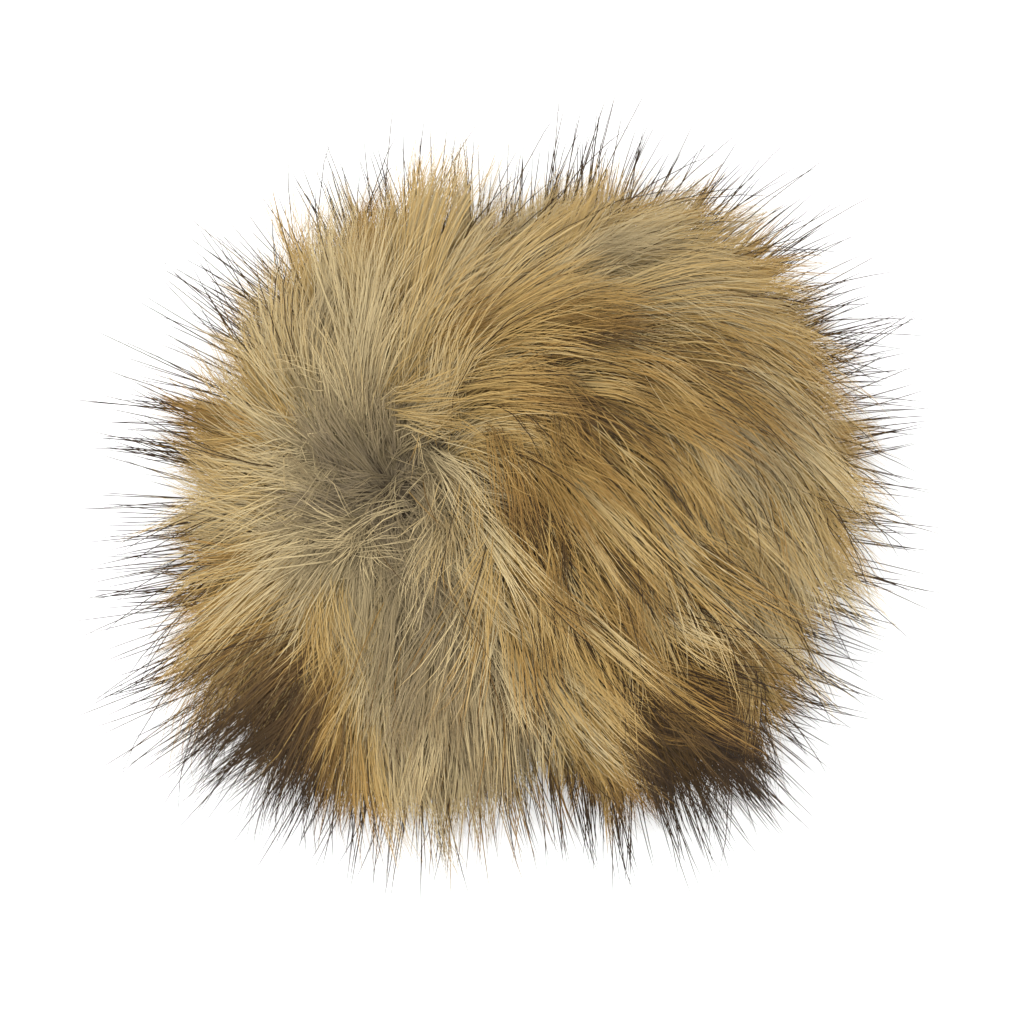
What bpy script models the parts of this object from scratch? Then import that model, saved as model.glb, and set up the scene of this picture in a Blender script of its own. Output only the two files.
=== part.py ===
"""A faux fur pom pom, lying on its gathered back with the pile combed away from a whorl.

Metres, +Z up. The origin is the middle of the flat spot that the pom pom rests on and is sewn on by.
+Y is the top of the picture and +X its right. The dense fur is one lumpy ball, and the pile that
stands out of it is a few hundred flattish locks, three-sided and pointed, fused to it at their roots.
"""

import math

import bmesh
import bpy
from mathutils import Vector, noise
from mathutils.bvhtree import BVHTree

MM = 0.001

# The dense fur, as a ball with a flat spot
FUR_RADIUS = 54 * MM  # seen from above, before the tufts
FUR_TOP = 73 * MM  # height of the crown
WIDEST_HEIGHT = 30 * MM  # height at which the ball is widest
UNDERSIDE_DEPTH = 35 * MM  # depth the ball would have below that, without its flat spot
TUFT_FADE = 1.5  # how fast the outline's tufts fade above and below the widest height
BALL_SEGMENTS = 36
BALL_RINGS = 16
NORMAL_STEP = 0.05  # of the ball's radius
LUMP_HEIGHT = 2.6 * MM
LUMP_PITCH = 17 * MM
LUMP_OFFSET = Vector((3.1, 7.7, 1.3))  # where in the noise the lumps are read

# Where the outline bulges or draws in: heading and spread in degrees, from +X towards +Y
OUTLINE = (
    {"heading": 12, "out": 1.5 * MM, "spread": 25},
    {"heading": 52, "out": 2.0 * MM, "spread": 22},
    {"heading": 95, "out": -7.0 * MM, "spread": 26},
    {"heading": 140, "out": -0.5 * MM, "spread": 20},
    {"heading": 188, "out": 2.0 * MM, "spread": 20},
    {"heading": 225, "out": 9.0 * MM, "spread": 24},
    {"heading": 272, "out": -4.0 * MM, "spread": 16},
    {"heading": 305, "out": 6.0 * MM, "spread": 17},
)

# The whorl, where the pile parts and the ball is dented
WHORL = Vector((-22 * MM, 0.0))
WHORL_DEPTH = 9 * MM
WHORL_SPREAD = 13 * MM
WHORL_PULL = 8 * MM  # distance at which the whorl counts as much as a stroke of the comb does

# How the pile on the crown lies seen from above, as strokes of a comb: place, and heading in degrees
COMB = (
    {"x": -31 * MM, "y": 34 * MM, "heading": 102},
    {"x": -32 * MM, "y": 19 * MM, "heading": 125},
    {"x": -41 * MM, "y": 4 * MM, "heading": 172},
    {"x": -39 * MM, "y": -15 * MM, "heading": 205},
    {"x": -37 * MM, "y": -32 * MM, "heading": 235},
    {"x": -20 * MM, "y": -22 * MM, "heading": 268},
    {"x": -18 * MM, "y": -42 * MM, "heading": 266},
    {"x": -9 * MM, "y": -14 * MM, "heading": 286},
    {"x": 3 * MM, "y": -39 * MM, "heading": 284},
    {"x": -15 * MM, "y": 13 * MM, "heading": 50},
    {"x": -15 * MM, "y": 44 * MM, "heading": 76},
    {"x": 0 * MM, "y": 20 * MM, "heading": 15},
    {"x": 0 * MM, "y": 37 * MM, "heading": 38},
    {"x": 3 * MM, "y": -3 * MM, "heading": 305},
    {"x": 16 * MM, "y": 9 * MM, "heading": 317},
    {"x": 17 * MM, "y": 24 * MM, "heading": 350},
    {"x": 20 * MM, "y": 42 * MM, "heading": 30},
    {"x": 37 * MM, "y": 35 * MM, "heading": 14},
    {"x": 36 * MM, "y": 17 * MM, "heading": 338},
    {"x": 30 * MM, "y": -4 * MM, "heading": 312},
    {"x": 14 * MM, "y": -25 * MM, "heading": 300},
    {"x": 37 * MM, "y": -21 * MM, "heading": 316},
    {"x": 24 * MM, "y": -41 * MM, "heading": 308},
)
COMB_REACH = 3 * MM  # a stroke counts fully this near
COMB_FADE = 3  # and then with this power of the distance

# How the pile at the rim turns from straight outwards towards clockwise, in degrees
RIM_LEAN = 4  # all round
RIM_LEAN_SWING = 16  # more than that on one side, and less on the other
RIM_LEAN_HEADING = 65  # where it leans most

# The locks, which are wide and thin where they leave the ball and run out to a point
LOCK_COUNT = 318  # spread over the whole ball, of which those underneath are left out
LOCK_HALF_WIDTH = 3.7 * MM
LOCK_FLATNESS = 0.5  # height over half width
LOCK_SEGMENTS = 3
LOCK_TAPER = 0.75  # below 1, a lock keeps its width and comes to a point late
LOCK_SINK = 3.0 * MM  # how far a root starts inside the ball
RIM_LOCK_LENGTH = 15.5 * MM
CROWN_LOCK_LENGTH = 25 * MM
LOW_LOCK_LENGTH = 13 * MM
LENGTH_SPREAD = 0.3  # how much longer or shorter one lock is than the mean
WIDTH_SPREAD = 0.18
LENGTH_STEP = 2.4  # radians of the wave of lengths from one lock to the next
WIDTH_STEP = 1.3
WHORL_SHORTENING = 0.4  # share of its length that a lock loses in the whorl
CROWN_RISE = 38  # degrees over the surface at which a lock leaves the crown
CROWN_SETTLE = 10  # and at which its tip lies
RIM_DROOP = 16  # degrees that a lock at the rim hangs below level at its tip
RIM_STAND = 0.3  # how much a tip at the rim still stands off the surface
CROWN_SLOPE = (0.15, 0.7)  # how far up the surface faces where the crown's way of lying sets in
LOW_SLOPE = (-0.1, -0.7)  # and where the underside's does
LEAST_TIP_HEIGHT = 0.15 * MM
NO_LOCKS_BELOW = 2.5 * MM
WELD = 0.01 * MM
GOLDEN_ANGLE = math.pi * (3 - math.sqrt(5))

FUR_COLOUR = (0.46, 0.31, 0.14, 1.0)
FUR_ROUGHNESS = 0.8


def bell(distance, spread):
    """1 at no distance, falling smoothly to nothing a few spreads away."""
    return math.exp(-((distance / spread) ** 2))


def smooth_step(span, value):
    """0 at the span's start and 1 at its end, smoothly in between."""
    start, end = span
    share = min(1.0, max(0.0, (value - start) / (end - start)))
    return share * share * (3 - 2 * share)


def heading_of(point):
    return math.degrees(math.atan2(point.y, point.x))


def unit(heading):
    return Vector((math.cos(math.radians(heading)), math.sin(math.radians(heading)), 0.0))


def outline_radius(heading):
    """How far the dense fur reaches from the middle, seen from above."""
    reach = FUR_RADIUS
    for row in OUTLINE:
        apart = abs((heading - row["heading"] + 180) % 360 - 180)
        reach += row["out"] * bell(apart, row["spread"])
    return reach


def ball_point(way, dented=True):
    """The point of the fur's surface that lies this way from the ball's middle."""
    level = math.hypot(way.x, way.y)
    reach = FUR_RADIUS + (outline_radius(heading_of(way)) - FUR_RADIUS) * level**TUFT_FADE
    rise = FUR_TOP - WIDEST_HEIGHT if way.z > 0 else UNDERSIDE_DEPTH
    point = Vector((way.x * reach, way.y * reach, WIDEST_HEIGHT + way.z * rise))
    point += way * noise.noise(point / LUMP_PITCH + LUMP_OFFSET) * LUMP_HEIGHT
    if way.z > 0 and dented:
        point.z -= WHORL_DEPTH * bell((point.xy - WHORL).length, WHORL_SPREAD)
    point.z = max(point.z, 0.0)
    return point


def surface_normal(way):
    """The outward normal of the fur's surface without its dent, from two short steps along it."""
    side = way.orthogonal().normalized()
    other = way.cross(side).normalized()
    here = ball_point(way, dented=False)
    along = ball_point((way + side * NORMAL_STEP).normalized(), dented=False) - here
    across = ball_point((way + other * NORMAL_STEP).normalized(), dented=False) - here
    return along.cross(across).normalized()


def combed_way(point):
    """The level way in which the pile on the crown lies, from the strokes of the comb and the whorl."""
    total = Vector((0.0, 0.0, 0.0))
    for row in COMB:
        near = math.hypot(point.x - row["x"], point.y - row["y"], COMB_REACH)
        total += unit(row["heading"]) / near**COMB_FADE
    away = point.xy - WHORL
    total += unit(heading_of(away)) * bell(away.length, WHORL_SPREAD) / WHORL_PULL**COMB_FADE
    return total.normalized()


def rim_way(point):
    """The level way in which the pile at the rim points."""
    heading = heading_of(point)
    swing = math.cos(math.radians(heading - RIM_LEAN_HEADING))
    return unit(heading - RIM_LEAN - RIM_LEAN_SWING * swing)


def lock_way(level, normal, crown, low, share):
    """The way a lock runs at this share of its length, from its root at 0 to its tip at 1."""
    along = (level - normal * level.dot(normal)).normalized()
    rise = math.radians(CROWN_RISE + (CROWN_SETTLE - CROWN_RISE) * share)
    laid = along * math.cos(rise) + normal * math.sin(rise)
    droop = math.radians(RIM_DROOP) * share * (1 - low)
    out = level * math.cos(droop) - Vector((0.0, 0.0, math.sin(droop)))
    standing = (normal * (1 - (1 - RIM_STAND) * share) + out).normalized()
    return standing.lerp(laid, crown).normalized()


def above_floor(place, half_width):
    """The place, lifted where the lock would otherwise sink into what the pom pom lies on."""
    least = half_width * LOCK_FLATNESS + LEAST_TIP_HEIGHT
    return Vector((place.x, place.y, max(place.z, least)))


def lock_line(number, way):
    """The points of one lock and its half width there, from inside the ball to its tip."""
    root = ball_point(way)
    normal = surface_normal(way)
    crown = smooth_step(CROWN_SLOPE, normal.z)
    low = smooth_step(LOW_SLOPE, normal.z)
    level = rim_way(root).lerp(combed_way(root), crown).normalized()
    length = RIM_LOCK_LENGTH + (CROWN_LOCK_LENGTH - RIM_LOCK_LENGTH) * crown
    length += (LOW_LOCK_LENGTH - length) * low
    length *= 1 + LENGTH_SPREAD * math.sin(number * LENGTH_STEP)
    length *= 1 - WHORL_SHORTENING * crown * bell((root.xy - WHORL).length, WHORL_SPREAD)
    widest = LOCK_HALF_WIDTH * (1 + WIDTH_SPREAD * math.sin(number * WIDTH_STEP))
    line = [(root - normal * LOCK_SINK, widest)]
    place = root
    for step in range(LOCK_SEGMENTS):
        middle = (step + 0.5) / LOCK_SEGMENTS
        place = place + lock_way(level, normal, crown, low, middle) * length / LOCK_SEGMENTS
        left = 1 - (step + 1) / LOCK_SEGMENTS
        line.append((place, widest * left**LOCK_TAPER))
    return [(above_floor(place, half_width), half_width) for place, half_width in line]


def lock_ways():
    """The locks' numbers and even ways out of the ball's middle for their roots."""
    for number in range(LOCK_COUNT):
        height = 1 - 2 * (number + 0.5) / LOCK_COUNT
        level = math.sqrt(1 - height * height)
        turn = number * GOLDEN_ANGLE
        way = Vector((level * math.cos(turn), level * math.sin(turn), height))
        if ball_point(way).z > NO_LOCKS_BELOW:
            yield number, way


def in_collection(obj, name):
    """Moves the object to the collection of that name."""
    group = bpy.data.collections.get(name) or bpy.data.collections.new(name)
    if name not in bpy.context.scene.collection.children:
        bpy.context.scene.collection.children.link(group)
    for old in list(obj.users_collection):
        old.objects.unlink(obj)
    group.objects.link(obj)


def as_helper(name, data):
    """A new object that only helps to shape others."""
    obj = bpy.data.objects.new(name, data)
    in_collection(obj, "helpers")
    obj.hide_render = True
    obj.display_type = "WIRE"
    return obj


def fur_material():
    material = bpy.data.materials.new("fur")
    material.use_nodes = True
    shader = material.node_tree.nodes["Principled BSDF"]
    shader.inputs["Base Color"].default_value = FUR_COLOUR
    shader.inputs["Roughness"].default_value = FUR_ROUGHNESS
    shader.inputs["Metallic"].default_value = 0.0
    return material


def fur_ball():
    """The dense fur: a sphere whose points are moved onto the fur's surface."""
    bpy.ops.mesh.primitive_uv_sphere_add(segments=BALL_SEGMENTS, ring_count=BALL_RINGS, radius=1)
    ball = bpy.context.object
    ball.name = "pom_pom"
    for vertex in ball.data.vertices:
        vertex.co = ball_point(vertex.co.normalized())
    ball.data.shade_smooth()
    ball.data.materials.append(fur_material())
    in_collection(ball, "pom pom")
    return ball


def lock_section():
    """The flat triangle that every lock is swept from, of half width 1."""
    outline = bpy.data.curves.new("lock section", "CURVE")
    spline = outline.splines.new("POLY")
    corners = ((1, -LOCK_FLATNESS / 2), (0, LOCK_FLATNESS), (-1, -LOCK_FLATNESS / 2))
    spline.points.add(len(corners) - 1)
    for point, (across, up) in zip(spline.points, corners):
        point.co = (across, up, 0.0, 1.0)
    spline.use_cyclic_u = True
    return as_helper("lock section", outline)


def lock_shell(line, section):
    """One lock: the section swept along the line, as a closed shell."""
    sweep = bpy.data.curves.new("lock", "CURVE")
    sweep.dimensions = "3D"
    sweep.twist_mode = "Z_UP"
    sweep.bevel_mode = "OBJECT"
    sweep.bevel_object = section
    sweep.use_fill_caps = True
    spline = sweep.splines.new("POLY")
    spline.points.add(len(line) - 1)
    for point, (place, half_width) in zip(spline.points, line):
        point.co = (*place, 1.0)
        point.radius = half_width
    curve = as_helper("lock", sweep)
    graph = bpy.context.evaluated_depsgraph_get()
    mesh = bpy.data.meshes.new_from_object(curve.evaluated_get(graph))
    bpy.data.objects.remove(curve)
    shell = bmesh.new()
    shell.from_mesh(mesh)
    bpy.data.meshes.remove(mesh)
    bmesh.ops.remove_doubles(shell, verts=shell.verts, dist=WELD)
    bmesh.ops.triangulate(shell, faces=shell.faces)
    bmesh.ops.recalc_face_normals(shell, faces=shell.faces)
    return shell


def fur_locks(section):
    """All the locks as one mesh object. A lock that would cross an earlier one is left out."""
    every = bpy.data.meshes.new("locks")
    together = bmesh.new()
    placed = []
    for number, way in lock_ways():
        shell = lock_shell(lock_line(number, way), section)
        tree = BVHTree.FromBMesh(shell)
        if not any(tree.overlap(other) for other in placed):
            placed.append(tree)
            shell.to_mesh(every)
            together.from_mesh(every)
        shell.free()
    together.to_mesh(every)
    together.free()
    return as_helper("locks", every)


def fuse(ball, locks):
    """Joins the locks' roots to the ball, whose faces are first made flat."""
    ball.modifiers.new("flat faces", "TRIANGULATE")
    union = ball.modifiers.new("lock roots", "BOOLEAN")
    union.operation = "UNION"
    union.solver = "EXACT"
    union.use_self = True
    union.object = locks


def main():
    for obj in list(bpy.data.objects):
        bpy.data.objects.remove(obj)
    fuse(fur_ball(), fur_locks(lock_section()))


main()
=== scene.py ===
import math

import bmesh
import bpy
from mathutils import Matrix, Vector, noise


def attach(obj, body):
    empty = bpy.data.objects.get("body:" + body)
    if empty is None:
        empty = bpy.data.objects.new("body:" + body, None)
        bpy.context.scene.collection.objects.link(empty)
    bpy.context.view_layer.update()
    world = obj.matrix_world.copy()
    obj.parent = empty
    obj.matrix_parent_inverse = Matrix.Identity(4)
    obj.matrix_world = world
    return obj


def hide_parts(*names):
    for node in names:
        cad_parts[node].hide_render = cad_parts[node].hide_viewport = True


# A faux fur pom pom, lying on its gathered back and seen from straight above.
# Hairs grow out of a hidden scalp along a combed flow that starts at an off-centre whorl.

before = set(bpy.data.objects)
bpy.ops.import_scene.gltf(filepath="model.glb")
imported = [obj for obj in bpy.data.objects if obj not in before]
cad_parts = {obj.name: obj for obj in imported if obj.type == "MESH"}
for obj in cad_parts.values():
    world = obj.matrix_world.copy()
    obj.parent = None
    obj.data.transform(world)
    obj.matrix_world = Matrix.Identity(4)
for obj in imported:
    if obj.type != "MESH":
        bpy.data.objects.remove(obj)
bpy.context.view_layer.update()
mm = 0.001
body = "root"
node = "pom_pom"


# the ball that the hairs grow from, in the sizes of the solid
ball = {
    "radius": 54 * mm,
    "top": 73 * mm,
    "widest": 30 * mm,  # height of the widest level
    "under": 35 * mm,
    "tuftFade": 1.5,
    "lumpHeight": 2.6 * mm,
    "lumpPitch": 17 * mm,
    "lumpOffset": Vector((3.1, 7.7, 1.3)),
    "whorl": Vector((-22 * mm, 0)),
    "whorlDepth": 7 * mm,
    "whorlSpread": 13 * mm,
    "scalpInset": 6 * mm,
    "subdivisions": 6,
    "floorShare": 0.3,  # of the inset, what a sunk skin stays above the floor
    "probe": 0.05,  # step over the unit sphere with which the skin's slope is measured
}

# heading and spread in degrees, outwards in metres
outline = (
    {"heading": 12, "out": 1.5 * mm, "spread": 25},
    {"heading": 52, "out": 2.0 * mm, "spread": 22},
    {"heading": 95, "out": -7.0 * mm, "spread": 26},
    {"heading": 140, "out": -0.5 * mm, "spread": 20},
    {"heading": 188, "out": 2.0 * mm, "spread": 20},
    {"heading": 225, "out": 9.0 * mm, "spread": 24},
    {"heading": 272, "out": -4.0 * mm, "spread": 16},
    {"heading": 305, "out": 6.0 * mm, "spread": 17},
)

# strokes of the comb on the crown: place, and the heading in which the pile lies there
comb = (
    {"x": -31 * mm, "y": 34 * mm, "heading": 98},
    {"x": -32 * mm, "y": 19 * mm, "heading": 125},
    {"x": -41 * mm, "y": 4 * mm, "heading": 172},
    {"x": -39 * mm, "y": -15 * mm, "heading": 205},
    {"x": -37 * mm, "y": -32 * mm, "heading": 235},
    {"x": -20 * mm, "y": -22 * mm, "heading": 268},
    {"x": -18 * mm, "y": -42 * mm, "heading": 266},
    {"x": -9 * mm, "y": -14 * mm, "heading": 286},
    {"x": 3 * mm, "y": -39 * mm, "heading": 284},
    {"x": -15 * mm, "y": 13 * mm, "heading": 44},
    {"x": -14 * mm, "y": 6 * mm, "heading": 20},
    {"x": -8 * mm, "y": 2 * mm, "heading": 335},
    {"x": -15 * mm, "y": 44 * mm, "heading": 76},
    {"x": 0 * mm, "y": 20 * mm, "heading": 15},
    {"x": 0 * mm, "y": 37 * mm, "heading": 38},
    {"x": 3 * mm, "y": -3 * mm, "heading": 298},
    {"x": 16 * mm, "y": 9 * mm, "heading": 300},
    {"x": 17 * mm, "y": 24 * mm, "heading": 343},
    {"x": 20 * mm, "y": 42 * mm, "heading": 30},
    {"x": 37 * mm, "y": 35 * mm, "heading": 8},
    {"x": 36 * mm, "y": 17 * mm, "heading": 319},
    {"x": 30 * mm, "y": -4 * mm, "heading": 299},
    {"x": 14 * mm, "y": -25 * mm, "heading": 296},
    {"x": 37 * mm, "y": -21 * mm, "heading": 306},
    {"x": 24 * mm, "y": -41 * mm, "heading": 308},
)

# how the pile lies: angles in degrees over the skin, lengths in metres
lie = {
    "combReach": 5 * mm,
    "combFade": 3,
    "whorlPull": 8 * mm,
    "rimLean": 4,  # clockwise turn of the rim's pile
    "rimSwing": 18,
    "rimHeading": 85,
    "crownRise": 56,
    "crownSettle": -9,
    "rimComb": 0.4,
    "rimDroop": 0.55,
    "crownLength": 28 * mm,
    "rimLength": 11.5 * mm,
    "lowLength": 18 * mm,
    "lengthFade": 1.5,  # how late the pile lengthens from the rim to the crown
    "strokeShare": 0.4,  # of the length, what each of two steps to the tip follows the comb
    "whorlReach": 14 * mm,
    "whorlShortening": 0.45,
    "whorlRise": 25,  # what the pile stands steeper by there
    "whorlMuss": 2.2,
    "rimMuss": 0.3,
    "whorlThickness": 1.2,
    "whorlTone": 0.0,
    "whorlGrey": 9.5 * mm,
    "whorlHold": -0.2,  # how much less the pile clings into locks there
    "rimHold": 0.3,
    "streakSpread": 2.2 * mm,
    "streakTone": 0.5,
    "streakDark": 1.0,
    "bareThinning": 0.92,
    "partedShortening": 0.45,
    "partedThinning": 0.6,
    "rippleScale": 12,  # how finely the rim's pile is gathered into pointed tufts
    "rippleLevel": 25 * mm,
    "rippleLength": 0.8,
    "rippleTurn": 34,
    "crownGuard": 30 * mm,
    "rimGuard": 23 * mm,
    "lowGuardShortening": 0.3,
    "crownGuards": 0.2,  # share of guard hairs on the crown, and the least of them anywhere
    "fewestGuards": 0.03,
    "fanStep": 1 * mm,
    "fanLimit": 2.5,
    "fanThickness": 0.9,  # what closes the pile where the comb parts it
    "lowThickness": 0.75,
    "rimGuards": 0.75,  # how many more guard hairs stand out of the rim than out of the crown
    "lowGuards": 0.6,
    "crownSlope": (0.15, 0.7),
    "lowSlope": (-0.1, -0.7),
}

# how much longer or shorter the pile is towards each side, as a share of its length
trims = (
    {"heading": 270, "share": -0.36, "spread": 26},
    {"heading": 312, "share": -0.16, "spread": 20},
    {"heading": 340, "share": -0.16, "spread": 20},
    {"heading": 10, "share": -0.1, "spread": 20},
    {"heading": 92, "share": -0.16, "spread": 25},
    {"heading": 50, "share": -0.05, "spread": 20},
    {"heading": 240, "share": -0.05, "spread": 16},
)

# where the rim's pile parts into a gap, and how far it swings aside there, in degrees
partings = (
    {"heading": 272, "spread": 5, "swing": 30},
    {"heading": 134, "spread": 4, "swing": 20},
    {"heading": 158, "spread": 4, "swing": 24},
    {"heading": 180, "spread": 3.5, "swing": 20},
    {"heading": 194, "spread": 3.5, "swing": 20},
    {"heading": 110, "spread": 3, "swing": 16},
    {"heading": 216, "spread": 4, "swing": 24},
    {"heading": 328, "spread": 4, "swing": 20},
    {"heading": 348, "spread": 4, "swing": 16},
    {"heading": 20, "spread": 3.5, "swing": 16},
)

# where the tips of a dark streak of pile come to lie, in millimetres, and how dark it is
streaks = (
    (15.6, 14.5, 0.9), (20.9, 19.4, 0.8), (28.6, 8.8, 1.0), (39.4, 13.9, 0.7), (11.1, 21.3, 0.7),
    (-3.4, 33.7, 0.5), (11.9, 29.2, 0.6), (20.4, 10.7, 0.7), (33.5, -2.2, 0.8), (23.5, 1.4, 0.8),
    (8.5, -15.3, 0.8), (17.5, -20.4, 1.0), (22.1, -24.3, 0.8), (-0.5, -15.3, 0.7), (-3.9, -24.3, 0.7),
    (3.9, -28.1, 0.8), (36.9, -23.8, 0.8), (32.8, -10.7, 0.7), (29.4, -25.5, 0.7), (13.6, -35.7, 0.7),
    (-2.6, -34.0, 0.7), (0.3, -46.8, 1.0), (-11.0, -42.5, 0.6), (20.4, -34.0, 0.7),
)

# bare spots in the whorl that show the dark roots
bareSpots = (
    {"x": -25.0 * mm, "y": -1.5 * mm, "spread": 2.0 * mm},
    {"x": -21.2 * mm, "y": -1.0 * mm, "spread": 2.2 * mm},
    {"x": -18.0 * mm, "y": -2.5 * mm, "spread": 1.8 * mm},
    {"x": -21.3 * mm, "y": -7.0 * mm, "spread": 1.8 * mm},
    {"x": -16.0 * mm, "y": 13.5 * mm, "spread": 2.2 * mm},
)

# where the dark guard hairs are thicker than elsewhere
guardSpots = (
    {"x": 40 * mm, "y": -5 * mm, "spread": 26 * mm, "more": 0.45},
    {"x": 25 * mm, "y": -40 * mm, "spread": 22 * mm, "more": 0.45},
    {"x": -40 * mm, "y": -38 * mm, "spread": 16 * mm, "more": 0.3},
    {"x": -22 * mm, "y": 8 * mm, "spread": 24 * mm, "more": -0.3},
)

# the fur's colour over the body, by where the tips of the pile come to lie; the deep ochre spots of the crown
# and the grey-olive spots of the lower side also hold painted shade
# tone 0 is the grey underwool, 0.2 grey-olive, 0.4 cream, 0.6 golden, 0.8 ochre-brown, 1 dark brown
# dark is how much of the dark tip each hair keeps
toneAndShadeSpots = (
    {"x": -38 * mm, "y": 0 * mm, "spread": 12 * mm, "tone": 0.10, "dark": -0.3},
    {"x": -32 * mm, "y": 24 * mm, "spread": 12 * mm, "tone": 0.36, "dark": -0.3},
    {"x": -51 * mm, "y": -2 * mm, "spread": 9 * mm, "tone": 0.50, "dark": 0.2},
    # the fur's deep ochre, made darker still as painted shade where the top softbox lights the crown most:
    # this spot, the four below it and the one at 33, 10
    {"x": -10 * mm, "y": 25 * mm, "spread": 14 * mm, "tone": 0.69, "dark": -0.2},
    {"x": 14 * mm, "y": 24 * mm, "spread": 14 * mm, "tone": 0.74, "dark": 0.0},
    {"x": 4 * mm, "y": -4 * mm, "spread": 13 * mm, "tone": 0.74, "dark": 0.1},
    {"x": 20 * mm, "y": -10 * mm, "spread": 12 * mm, "tone": 0.72, "dark": 0.0},
    {"x": 6 * mm, "y": -26 * mm, "spread": 12 * mm, "tone": 0.68, "dark": -0.15},
    # partly the fur's grey-olive, partly painted shade that makes the lower side darker
    {"x": -12 * mm, "y": -32 * mm, "spread": 10 * mm, "tone": 0.16, "dark": 0.5},
    {"x": -32 * mm, "y": -24 * mm, "spread": 13 * mm, "tone": 0.48, "dark": -0.2},
    {"x": 33 * mm, "y": 10 * mm, "spread": 12 * mm, "tone": 0.72, "dark": -0.1},
    {"x": 44 * mm, "y": -16 * mm, "spread": 13 * mm, "tone": 0.42, "dark": -0.25},
    {"x": 30 * mm, "y": 40 * mm, "spread": 14 * mm, "tone": 0.42, "dark": -0.15},
    {"x": -5 * mm, "y": 46 * mm, "spread": 14 * mm, "tone": 0.44, "dark": 0.0},
    # partly the fur's grey-olive with dark tips, partly painted shade along the bottom rim
    {"x": -5 * mm, "y": -46 * mm, "spread": 10 * mm, "tone": 0.16, "dark": 1.0},
    {"x": -45 * mm, "y": -48 * mm, "spread": 9 * mm, "tone": 1.25, "dark": 1.0},
    {"x": 35 * mm, "y": -49 * mm, "spread": 9.5 * mm, "tone": 1.2, "dark": 1.0},
    {"x": 15 * mm, "y": -54 * mm, "spread": 5 * mm, "tone": 0.84, "dark": 1.0},
    {"x": 50 * mm, "y": -5 * mm, "spread": 10 * mm, "tone": 0.42, "dark": 0.1},
    {"x": 60 * mm, "y": 24 * mm, "spread": 7 * mm, "tone": 0.84, "dark": 1.0},
    {"x": 62 * mm, "y": -2 * mm, "spread": 9 * mm, "tone": 0.76, "dark": 1.0},
    {"x": 60 * mm, "y": 10 * mm, "spread": 6 * mm, "tone": 0.72, "dark": 0.9},
    {"x": 25 * mm, "y": 51 * mm, "spread": 6 * mm, "tone": 0.76, "dark": 0.9},
    {"x": 44 * mm, "y": 38 * mm, "spread": 5 * mm, "tone": 0.72, "dark": 0.8},
    {"x": 56 * mm, "y": -30 * mm, "spread": 7 * mm, "tone": 0.76, "dark": 1.0},
    {"x": -31 * mm, "y": 56 * mm, "spread": 6 * mm, "tone": 0.84, "dark": 1.0},
    {"x": -57 * mm, "y": 15 * mm, "spread": 6 * mm, "tone": 0.76, "dark": 1.0},
    {"x": -57 * mm, "y": -24 * mm, "spread": 6 * mm, "tone": 0.70, "dark": 1.0},
)
tones = {
    "crown": 0.56,
    "rim": 0.6,
    "under": 0.6,
    "baseWeight": 0.15,
    "crownDark": 0.1,
    "rimDark": 0.85,
}


def bell(distance, spread):
    return math.exp(-((distance / spread) ** 2))


def smoothStep(span, value):
    start, end = span
    share = min(1.0, max(0.0, (value - start) / (end - start)))
    return share * share * (3 - 2 * share)


def headingOf(point):
    return math.degrees(math.atan2(point.y, point.x))


def unit(heading):
    return Vector((math.cos(math.radians(heading)), math.sin(math.radians(heading)), 0.0))


def turned(heading, other):
    # the signed turn from the other heading to this one
    return (heading - other + 180) % 360 - 180


def apart(heading, other):
    return abs(turned(heading, other))


def ballPoint(way, inset=0.0, dented=True):
    # a point of the fur's skin, sunk below the dense fur's surface by the inset
    level = math.hypot(way.x, way.y)
    out = 0.0
    for row in outline:
        out += row["out"] * bell(apart(headingOf(way), row["heading"]), row["spread"])
    reach = ball["radius"] + out * level ** ball["tuftFade"] - inset
    rise = (ball["top"] - ball["widest"] if way.z > 0 else ball["under"]) - inset
    point = Vector((way.x * reach, way.y * reach, ball["widest"] + way.z * rise))
    point += way * noise.noise(point / ball["lumpPitch"] + ball["lumpOffset"]) * ball["lumpHeight"]
    if way.z > 0 and dented:
        point.z -= ball["whorlDepth"] * bell((point.xy - ball["whorl"]).length, ball["whorlSpread"])
    point.z = max(point.z, ball["floorShare"] * inset)
    return point


def skinNormal(way):
    side = way.orthogonal().normalized()
    other = way.cross(side).normalized()
    here = ballPoint(way, dented=False)
    along = ballPoint((way + side * ball["probe"]).normalized(), dented=False) - here
    across = ballPoint((way + other * ball["probe"]).normalized(), dented=False) - here
    return along.cross(across).normalized()


def combedWay(point):
    total = Vector((0.0, 0.0, 0.0))
    for row in comb:
        near = math.hypot(point.x - row["x"], point.y - row["y"], lie["combReach"])
        total += unit(row["heading"]) / near ** lie["combFade"]
    away = point.xy - ball["whorl"]
    pull = bell(away.length, ball["whorlSpread"]) / lie["whorlPull"] ** lie["combFade"]
    return (total + unit(headingOf(away)) * pull).normalized()


def fanAt(point):
    # how fast the combed pile spreads apart here, per metre
    step = lie["fanStep"]
    east, north = Vector((step, 0, 0)), Vector((0, step, 0))
    along = combedWay(point + east).x - combedWay(point - east).x
    across = combedWay(point + north).y - combedWay(point - north).y
    return (along + across) / (2 * step)


def rippleAt(heading, level):
    return noise.noise(unit(heading) * lie["rippleScale"] + Vector((0, 0, level / lie["rippleLevel"])))


def rimWay(point):
    heading = headingOf(point)
    swing = math.cos(math.radians(heading - lie["rimHeading"]))
    slope = rippleAt(heading + 1, point.z) - rippleAt(heading - 1, point.z)
    result = heading - lie["rimLean"] - lie["rimSwing"] * swing + lie["rippleTurn"] * slope
    for row in partings:
        share = turned(heading, row["heading"]) / row["spread"]
        result += row["swing"] * share * bell(share, 1)
    return unit(result)


def partedAt(heading):
    return max(bell(apart(heading, row["heading"]), row["spread"]) for row in partings)


def nearness(point, row):
    # 1 at a spot and 0 far from it, seen from above
    return bell(math.hypot(point.x - row["x"], point.y - row["y"]), row["spread"])


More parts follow.
